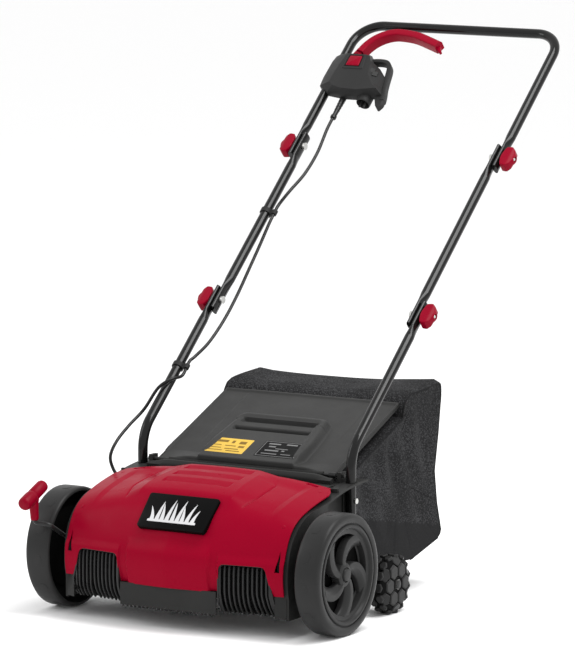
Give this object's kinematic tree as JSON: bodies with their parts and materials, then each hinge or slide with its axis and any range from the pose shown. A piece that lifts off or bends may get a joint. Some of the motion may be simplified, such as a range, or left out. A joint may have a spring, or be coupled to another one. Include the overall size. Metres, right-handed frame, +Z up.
{
  "type": "lawn dethatcher",
  "caption": "Electric lawn dethatcher with a tine drum under a hood, four wheels, rear flap, fabric grass box, depth lever and a two-fold tubular push handle.",
  "frame": {"origin": "on the lawn under the middle of the whole machine's box", "axes": "+X to the machine's side away from the depth lever, -Y the way it is pushed, +Y towards the person pushing it, +Z up"},
  "size_m": [0.6, 1.0982, 0.9793],
  "materials": {
    "black_plastic": "moulded black plastic, satin grain",
    "red_plastic": "deep crimson moulded plastic, semi-gloss",
    "grey_plastic": "dark grey moulded plastic, fine grain",
    "wheel_plastic": "black wheel plastic, satin",
    "badge_black": "gloss black badge with pale raised grass blades",
    "tube_paint": "gloss black powder coat",
    "dark_steel": "black coated steel rod",
    "zinc_steel": "bright zinc plate",
    "blade_steel": "spring steel",
    "motor_steel": "plain steel",
    "cast_alloy": "die cast",
    "belt_rubber": "toothed belt",
    "cable_rubber": "black cable jacket, slight sheen",
    "label_yellow": "blank yellow label",
    "label_black": "blank black label with pale border",
    "bag_fabric": "dark grey woven mesh"
  },
  "bodies": {
    "deck": {"deck_housing": "black_plastic", "motor_hood": "red_plastic", "vent_grilles": "black_plastic", "badge_plate": "badge_black", "hood_screws": "zinc_steel", "motor_body": "motor_steel", "motor_end_shields": "cast_alloy", "drive_belt": "belt_rubber", "belt_cover": "black_plastic", "drum_bearings": "cast_alloy", "rear_axle": "zinc_steel", "lower_tube_left": "tube_paint", "lower_tube_right": "tube_paint", "lower_tube_screws": "zinc_steel", "depth_detent_plate": "dark_steel", "flap_hinge_pin": "zinc_steel", "flap_spring": "zinc_steel", "cable_gland": "cable_rubber", "cable_clip_lower": "black_plastic", "cable_lower": "cable_rubber"},
    "front_axle_assembly": {"front_axle": "dark_steel", "depth_grip": "red_plastic"},
    "front_wheel_left": {"front_tyre_left": "wheel_plastic", "front_rim_left": "wheel_plastic", "front_hub_cap_left": "wheel_plastic"},
    "front_wheel_right": {"front_tyre_right": "wheel_plastic", "front_rim_right": "wheel_plastic", "front_hub_cap_right": "wheel_plastic"},
    "rear_wheel_l": {"rear_wheel_left": "wheel_plastic"},
    "rear_wheel_r": {"rear_wheel_right": "wheel_plastic"},
    "drum": {"drum_shaft": "zinc_steel", "drum_blades": "blade_steel", "drum_spacers": "black_plastic", "drum_pulley": "black_plastic"},
    "rotor": {"motor_rotor": "motor_steel", "cooling_fan": "black_plastic", "motor_pulley": "zinc_steel"},
    "flap": {"discharge_flap": "grey_plastic", "warning_label": "label_yellow", "rating_label": "label_black"},
    "catcher": {"catcher_bag": "bag_fabric", "catcher_frame": "black_plastic"},
    "mid_handle": {"mid_tube_left": "tube_paint", "mid_tube_right": "tube_paint", "carriage_bolts": "zinc_steel", "cable_clip_upper": "black_plastic", "cable_middle": "cable_rubber"},
    "upper_handle_assembly": {"upper_handle": "tube_paint", "switch_box_cover": "grey_plastic", "switch_box_base": "grey_plastic", "cable_hook": "grey_plastic", "plug_inlet": "grey_plastic", "bend_protector": "cable_rubber", "cable_upper": "cable_rubber"},
    "lever": {"switch_lever": "red_plastic"},
    "button": {"safety_button": "red_plastic"},
    "knob_lower_left": {"wing_knob_lower_left": "red_plastic"},
    "knob_lower_right": {"wing_knob_lower_right": "red_plastic"},
    "knob_upper_left": {"wing_knob_upper_left": "red_plastic"},
    "knob_upper_right": {"wing_knob_upper_right": "red_plastic"}
  },
  "joints": [
    {"name": "depth_adjust", "type": "hinge", "parent": "deck", "child": "front_axle_assembly", "pos_m": [0, -0.3795, 0.118], "axis": [1, 0, 0], "range_deg": [-60, 0]},
    {"name": "front_wheel_left_spin", "type": "hinge", "parent": "front_axle_assembly", "child": "front_wheel_left", "pos_m": [-0.276, -0.39682, 0.108], "axis": [1, 0, 0], "continuous": true},
    {"name": "front_wheel_right_spin", "type": "hinge", "parent": "front_axle_assembly", "child": "front_wheel_right", "pos_m": [0.276, -0.39682, 0.108], "axis": [1, 0, 0], "continuous": true},
    {"name": "rear_wheel_left_spin", "type": "hinge", "parent": "deck", "child": "rear_wheel_l", "pos_m": [-0.255, -0.17182, 0.053], "axis": [1, 0, 0], "continuous": true},
    {"name": "rear_wheel_right_spin", "type": "hinge", "parent": "deck", "child": "rear_wheel_r", "pos_m": [0.255, -0.17182, 0.053], "axis": [1, 0, 0], "continuous": true},
    {"name": "drum_spin", "type": "hinge", "parent": "deck", "child": "drum", "pos_m": [0, -0.32182, 0.062], "axis": [1, 0, 0], "continuous": true},
    {"name": "rotor_spin", "type": "hinge", "parent": "deck", "child": "rotor", "pos_m": [0, -0.41682, 0.166], "axis": [1, 0, 0], "continuous": true},
    {"name": "flap_hinge", "type": "hinge", "parent": "deck", "child": "flap", "pos_m": [0, -0.24382, 0.251], "axis": [1, 0, 0], "range_deg": [0, 65], "stiffness_Nm_per_rad": 0.6, "springref_deg": -34.38},
    {"name": "catcher_slide", "type": "slide", "parent": "deck", "child": "catcher", "axis": [0, 1, 0], "range_m": [0, 0.35]},
    {"name": "handle_lower_fold", "type": "hinge", "parent": "deck", "child": "mid_handle", "pos_m": [0, 0.00257, 0.50793], "axis": [1, 0, 0], "range_deg": [0, 160], "deforming": ["cable_middle"]},
    {"name": "handle_upper_fold", "type": "hinge", "parent": "mid_handle", "child": "upper_handle_assembly", "pos_m": [0, 0.29825, 0.76225], "axis": [1, 0, 0], "range_deg": [-160, 0], "deforming": ["cable_upper"]},
    {"name": "knob_lower_left_turn", "type": "hinge", "parent": "mid_handle", "child": "knob_lower_left", "pos_m": [-0.2323, 0.00257, 0.50793], "axis": [1, 0, 0], "continuous": true},
    {"name": "knob_lower_right_turn", "type": "hinge", "parent": "mid_handle", "child": "knob_lower_right", "pos_m": [0.2323, 0.00257, 0.50793], "axis": [1, 0, 0], "continuous": true},
    {"name": "knob_upper_left_turn", "type": "hinge", "parent": "mid_handle", "child": "knob_upper_left", "pos_m": [-0.2323, 0.29825, 0.76225], "axis": [1, 0, 0], "continuous": true},
    {"name": "knob_upper_right_turn", "type": "hinge", "parent": "mid_handle", "child": "knob_upper_right", "pos_m": [0.2323, 0.29825, 0.76225], "axis": [1, 0, 0], "continuous": true},
    {"name": "lever_squeeze", "type": "hinge", "parent": "upper_handle_assembly", "child": "lever", "pos_m": [-0.182, 0.46003, 0.9146], "axis": [0, -0.6521, 0.7581], "range_deg": [0, 10], "stiffness_Nm_per_rad": 0.8, "springref_deg": -20.05},
    {"name": "button_press", "type": "slide", "parent": "upper_handle_assembly", "child": "button", "axis": [0, 0.6521, -0.7581], "range_m": [0, 0.005], "stiffness_N_per_m": 400, "springref_m": -0.002}
  ],
  "couplings": [
    {"joint": "rotor_spin", "follows": "drum_spin", "ratio": 3}
  ]
}
